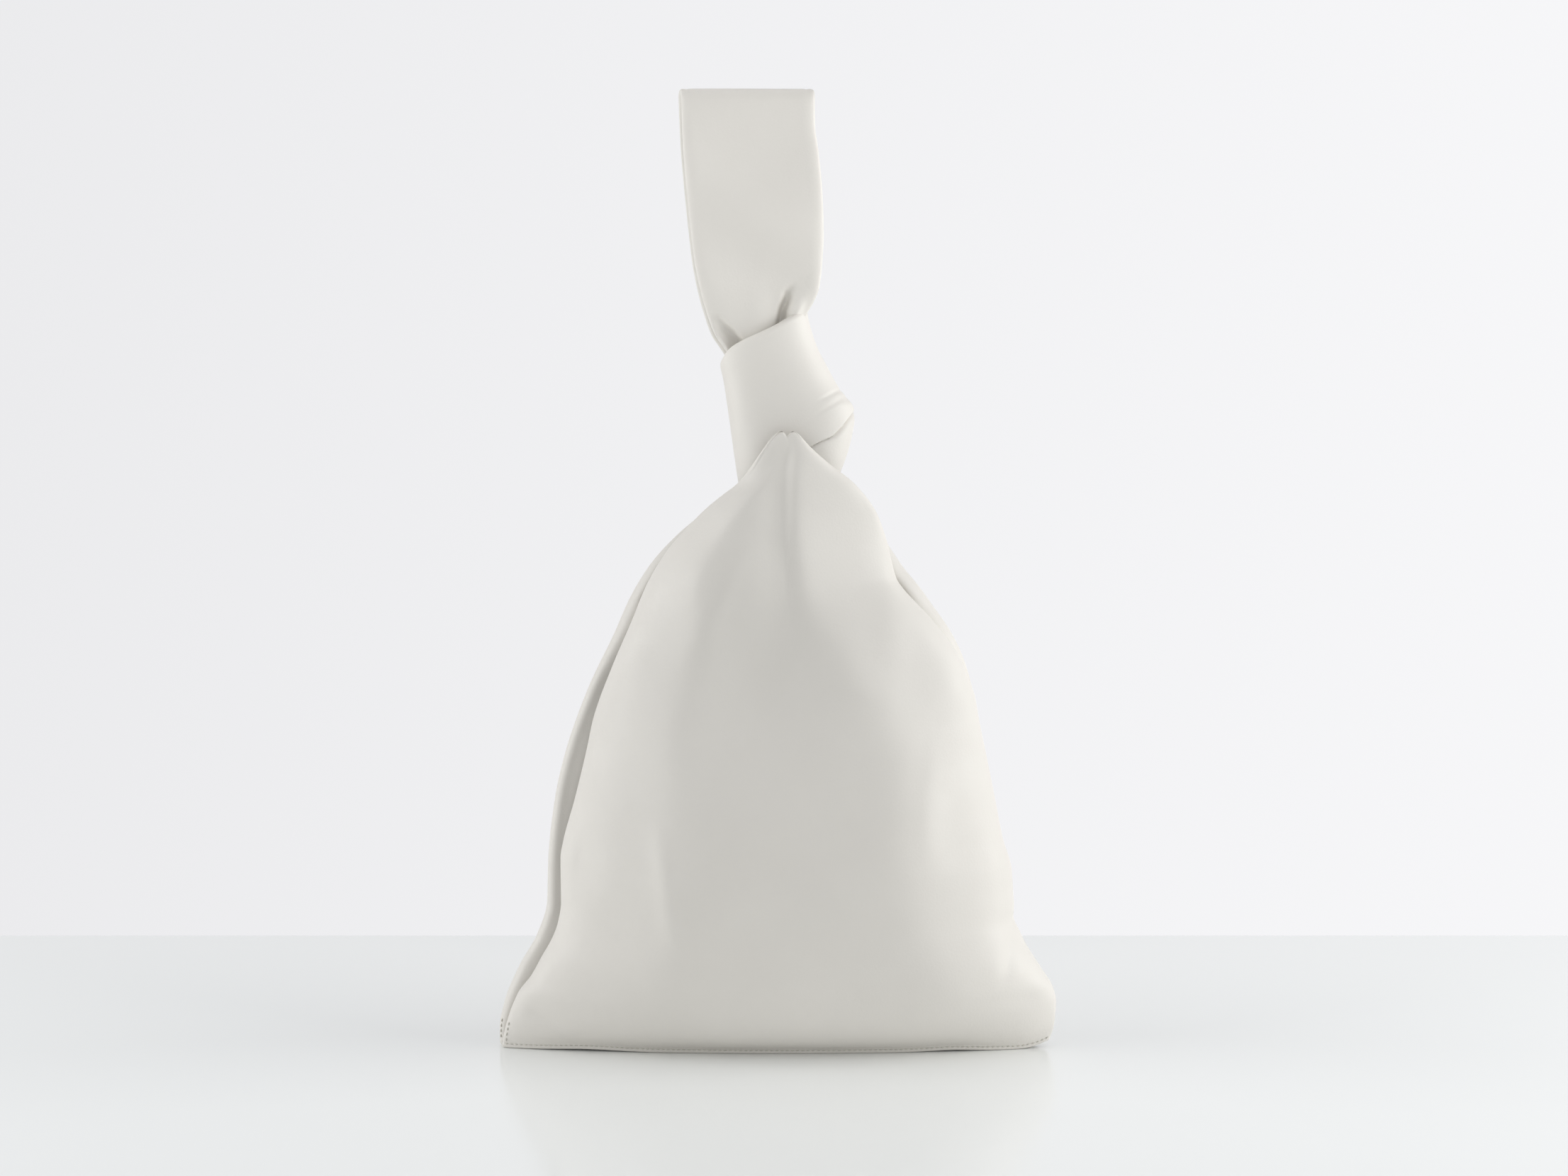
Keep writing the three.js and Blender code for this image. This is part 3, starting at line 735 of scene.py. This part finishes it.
def knot_band():
    angles = np.linspace(0, 2 * math.pi, 320, endpoint=False)
    out = np.stack((np.cos(angles), np.sin(angles), 0 * angles), -1)
    up = np.array([0.0, 0.0, 1.0])
    _, face = knot_rows(angles, np.linspace(0, 1, 180))
    roll = [face[-1] - out * RIM_ROLL * (1 - math.cos(a)) + up * RIM_ROLL * math.sin(a)
            for a in np.linspace(0, math.pi, 13)[1:]]
    bore = [roll[-1] - up * BORE_REACH * t for t in np.linspace(0.1, 1, 10)]
    foot = [face[0] - out * 2.5 * (1 - math.cos(a)) - up * 3 * math.sin(a)
            for a in np.linspace(math.pi, 0, 9)[:-1]]
    piece = sleeve_mesh("knot_band", np.concatenate((face, roll, bore, foot)), leather)
    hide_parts("short_handle_band")
    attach(piece, "knot")
    inside = np.array(bore)[1:] - out * (LINING + LINING_GAP)
    sleeve = np.concatenate((inside, inside[::-1] - out * LINING))
    lining = sleeve_mesh("knot_lining", sleeve[:, ::-1], suede)
    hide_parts("short_handle_lining")
    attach(lining, "knot")


def knot_underlap():
    """The strap's end, coming up from under the band at its lower right."""
    angles = np.linspace(math.radians(-172), math.radians(38), 120)
    angle, grid = knot_rows(angles, edge_spaced(0.05, 0.62, 60, 0.016))
    below = below_crease(grid[..., 0], grid[..., 2])
    lift = tuck_step(below, grid[..., 1]) - UNDERLAP_DROP - UNDERLAP_SINK * smooth(0.5, -2.5, below)
    grid[..., 0] += np.cos(angle) * lift
    grid[..., 1] += np.sin(angle) * lift
    piece = sheet_mesh("knot_underlap", grid, LEATHER, leather)
    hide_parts("short_handle_underlap")
    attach(piece, "knot")


knot_band()
knot_underlap()

# Long handle: one strap from inside the knot, over the top and back into it
handle_left = curve(
    (314, -17), (322, -20), (330, -25), (337, -29.6), (348, -33.5), (358, -36.2), (370, -38.6),
    (388, -40.8), (406, -42.5), (424, -43.9), (450, -45))
handle_right = curve(
    (314, 8), (338, 11), (345, 13.2), (352, 17.2), (358, 19.4), (370, 20.8), (383, 21.4), (402, 20.8),
    (421, 19), (433, 17.5), (450, 17.3))
leg_depth = curve(
    (314, 4.5), (330, 6.5), (345, 9), (360, 11.5), (385, 12), (410, 10), (430, 7.2), (445, 5.2))
LEFT_TUCK = [(-31, 346), (-26.5, 342), (-21.2, 337.2), (-17.2, 332), (-15.6, 324.5)]
RIGHT_TUCK = [(10, 360), (5, 355.5), (2, 349), (0.6, 341), (0.4, 326)]


def tuck(path, x, z, depth, left, right):
    """A deep fold that opens softly at the start of its path, with a width for its left and right slope."""
    away, along = distance_to(path, x, z)
    width = np.where(away > 0, left, right) * mix(2.0, 1.1, smooth(0, 0.45, along))
    return depth * smooth(-0.12, 0.45, along) * bell(away, 0, width)


def gathers(x, z):
    """Pleats where the strap is drawn together at the knot's rim, inwards positive."""
    left = tuck(LEFT_TUCK, x, z, 4.6, 1.5, 4.4)
    right = tuck(RIGHT_TUCK, x, z, 5.0, 2.6, 1.3)
    lobes = 2.0 * bell(x, 9, 4.5) * bell(z, 348, 9) + 1.6 * bell(x, -8, 6) * bell(z, 343, 12)
    lobes = lobes + 1.2 * bell(x, -27, 4) * bell(z, 337, 8)
    return left + right - lobes * smooth(374, 354, z)


def handle():
    shoulder = HANDLE_TOP - leg_depth(HANDLE_TOP)
    gathered, plain_leg = np.linspace(HANDLE_FOOT, GATHER_TOP, 90), np.linspace(GATHER_TOP, shoulder, 60)
    rise = np.unique(np.concatenate((gathered, plain_leg)))
    turn = np.linspace(0, math.pi, 25)[1:-1]
    radius = leg_depth(shoulder)
    z = np.concatenate((rise, shoulder + radius * np.sin(turn), rise[::-1]))
    y = np.concatenate((-leg_depth(rise), -radius * np.cos(turn), leg_depth(rise[::-1])))
    height, across = np.meshgrid(z, sine_spaced(131), indexing="ij")
    depth = np.broadcast_to(y[:, None], height.shape)
    rear = smooth(-radius, radius, depth)
    x = mix(handle_left(height), handle_right(height), (across + 1) / 2) - REAR_SHIFT * rear
    front_gathers = gathers(x, height)
    rear_gathers = gathers(-18 - x, height)
    inward = mix(front_gathers, -rear_gathers, rear) * smooth(0.97, 0.8, np.abs(across))
    ears = 1.2 * smooth(0.88, 1, np.abs(across)) * smooth(438, 449, height)
    sway = 1.2 * np.sin(height / 13) * np.sin(across * 2 + 0.6) + 0.5 * np.sin(height / 8 + across * 3)
    plain = np.stack((x, depth + sway, height + ears), -1)
    pleats = np.stack((0 * inward, inward, 0 * inward), -1)
    piece = sheet_mesh(
        "long_handle", plain + pleats, STRAP, leather, normals_of(plain), HANDLE_EDGE)
    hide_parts("long_handle_neck", "long_handle_outer", "long_handle_core", "long_handle_inner")
    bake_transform(piece)


handle()


# Studio floor, light and camera
def floor_material():
    material, _, _, shader = principled("floor", 0.17)
    shader.inputs["Base Color"].default_value = (0.95, 0.965, 0.955, 1)
    shader.inputs["Specular IOR Level"].default_value = 1.0
    return material


def studio_floor():
    bpy.ops.mesh.primitive_plane_add(size=1)
    floor = bpy.context.object
    floor.name = "floor"
    floor.scale = (4, 2.2, 1)
    floor.location = (0, -0.83, 0)
    floor.data.materials.append(floor_material())


def softbox(name, place, target, size, power, spread=180, mirrored=True):
    lamp = bpy.data.lights.new(name, "AREA")
    lamp.spread = math.radians(spread)
    lamp.shape = "RECTANGLE"
    lamp.size, lamp.size_y = size
    lamp.energy = power
    box = bpy.data.objects.new(name, lamp)
    box.location = place
    box.rotation_euler = (Vector(target) - Vector(place)).to_track_quat("-Z", "Y").to_euler()
    box.visible_glossy = mirrored
    bpy.context.collection.objects.link(box)


def studio_world():
    world = bpy.data.worlds.new("studio")
    bpy.context.scene.world = world
    world.use_nodes = True
    nodes, links = world.node_tree.nodes, world.node_tree.links
    light = nodes["Background"]
    light.inputs["Color"].default_value = (0.95, 0.97, 1.0, 1)
    light.inputs["Strength"].default_value = 0.385
    backdrop = nodes.new("ShaderNodeBackground")
    place = nodes.new("ShaderNodeTexCoord")
    direction = nodes.new("ShaderNodeSeparateXYZ")
    links.new(place.outputs["Generated"], direction.inputs["Vector"])
    across = nodes.new("ShaderNodeMapRange")
    across.inputs["From Min"].default_value = -0.4
    across.inputs["From Max"].default_value = 0.4
    links.new(direction.outputs["X"], across.inputs["Value"])
    # Painted light: the backdrop seen by the camera and in reflections grades from darker on the left to
    # lighter on the right
    backdrop_falloff = ramp_node(nodes, links, across.outputs["Result"], (0, BACKDROP_LEFT), (1, BACKDROP_RIGHT))
    links.new(backdrop_falloff.outputs["Color"], backdrop.inputs["Color"])
    ray = nodes.new("ShaderNodeLightPath")
    chosen = nodes.new("ShaderNodeMixShader")
    seen = ray.outputs["Is Camera Ray"]
    for kind in ("Is Glossy Ray", "Is Transmission Ray"):
        either = nodes.new("ShaderNodeMath")
        either.operation = "MAXIMUM"
        links.new(seen, either.inputs[0])
        links.new(ray.outputs[kind], either.inputs[1])
        seen = either.outputs["Value"]
    links.new(seen, chosen.inputs["Fac"])
    links.new(light.outputs["Background"], chosen.inputs[1])
    links.new(backdrop.outputs["Background"], chosen.inputs[2])
    links.new(chosen.outputs["Shader"], nodes["World Output"].inputs["Surface"])


def photo_camera():
    data = bpy.data.cameras.new("camera")
    data.sensor_width = SENSOR
    data.lens = FOCAL_PIXELS / IMAGE_WIDTH * SENSOR
    camera = bpy.data.objects.new("camera", data)
    camera.location = CAMERA_PLACE
    camera.rotation_euler = (math.pi / 2 - CAMERA_PITCH, 0, 0)
    bpy.context.collection.objects.link(camera)
    bpy.context.scene.camera = camera


studio_floor()
studio_world()
softbox("right_box", (1.3, -0.25, 0.55), (0, 0, 0.2), (1.1, 1.1), 14.0)
softbox("left_box", (-1.3, -0.25, 0.55), (0, 0, 0.2), (1.1, 1.1), 10.2)
softbox("top_box", (0, 0.1, 1.5), (0, 0, 0.2), (1.4, 1.0), 2.5)
softbox("handle_box", (0.1, -0.6, 0.55), (0, 0, 0.395), (0.2, 0.2), 0.02, spread=14)
softbox("low_box", (0, -0.85, 0.08), (0, 0, 0.03), (0.5, 0.08), 0.012, spread=24, mirrored=False)
photo_camera()
bpy.context.scene.view_settings.view_transform = "Standard"
